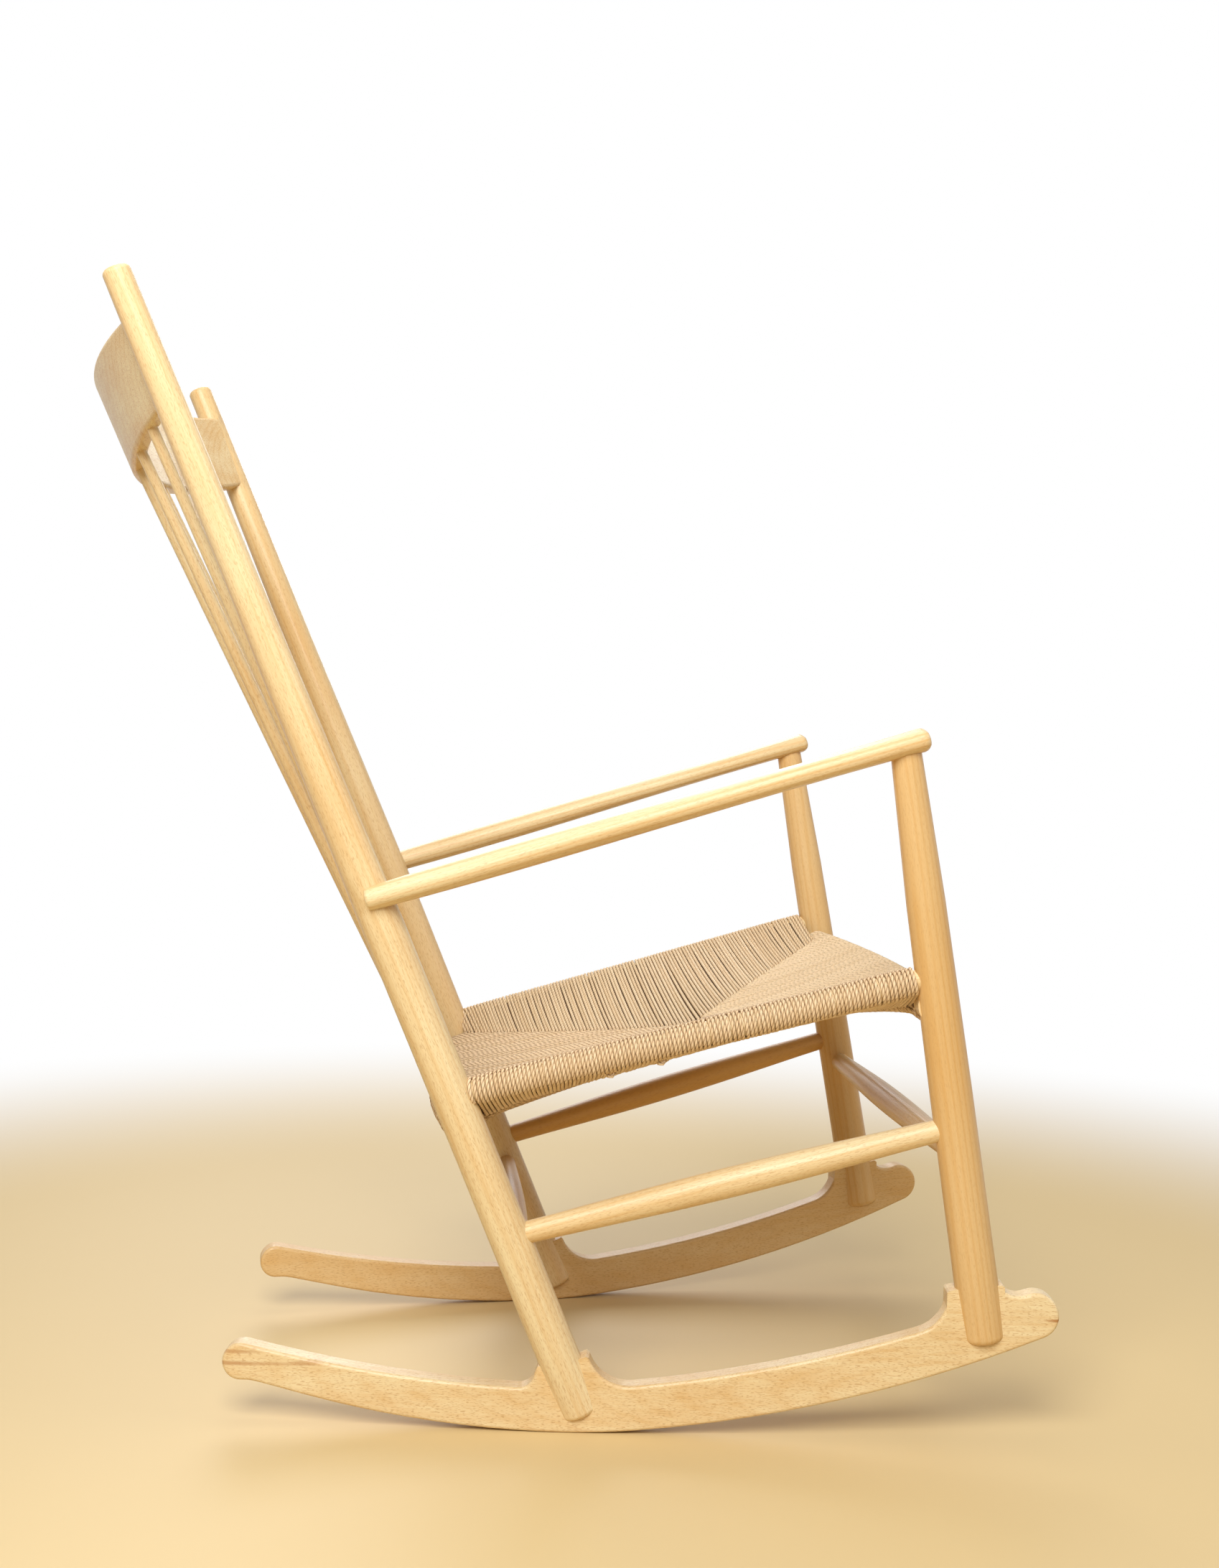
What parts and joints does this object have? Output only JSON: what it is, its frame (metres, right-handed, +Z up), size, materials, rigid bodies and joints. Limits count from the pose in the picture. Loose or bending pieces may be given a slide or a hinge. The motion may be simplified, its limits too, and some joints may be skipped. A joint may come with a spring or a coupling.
{
  "type": "rocking chair",
  "caption": "High-back wooden rocking chair with a row of thin back spindles, open arms, turned posts, curved rockers and a woven cord seat.",
  "frame": {"origin": "on the floor, midway between the rockers and midway between the front and back of the chair", "axes": "+Z up, +X to the sitter's left and square to the chair's mirror plane, -Y to the front"},
  "size_m": [0.6072, 0.943, 1.0772],
  "materials": {
    "beech": "satin",
    "cord": "matte"
  },
  "bodies": {
    "root": {"rocker_right": "beech", "rear_post_right": "beech", "front_leg_right": "beech", "arm_right": "beech", "rocker_left": "beech", "rear_post_left": "beech", "front_leg_left": "beech", "arm_left": "beech", "top_rail": "beech", "seat_front_rail": "beech", "seat_rear_rail": "beech", "seat_side_rail_right": "beech", "seat_side_rail_left": "beech", "side_stretcher_right": "beech", "side_stretcher_left": "beech", "front_stretcher": "beech", "rear_stretcher": "beech", "spindle_1": "beech", "spindle_2": "beech", "spindle_3": "beech", "spindle_4": "beech", "spindle_5": "beech", "spindle_6": "beech", "spindle_7": "beech", "arm_dowel_right": "beech", "arm_dowel_left": "beech", "woven_seat": "cord"}
  },
  "joints": []
}
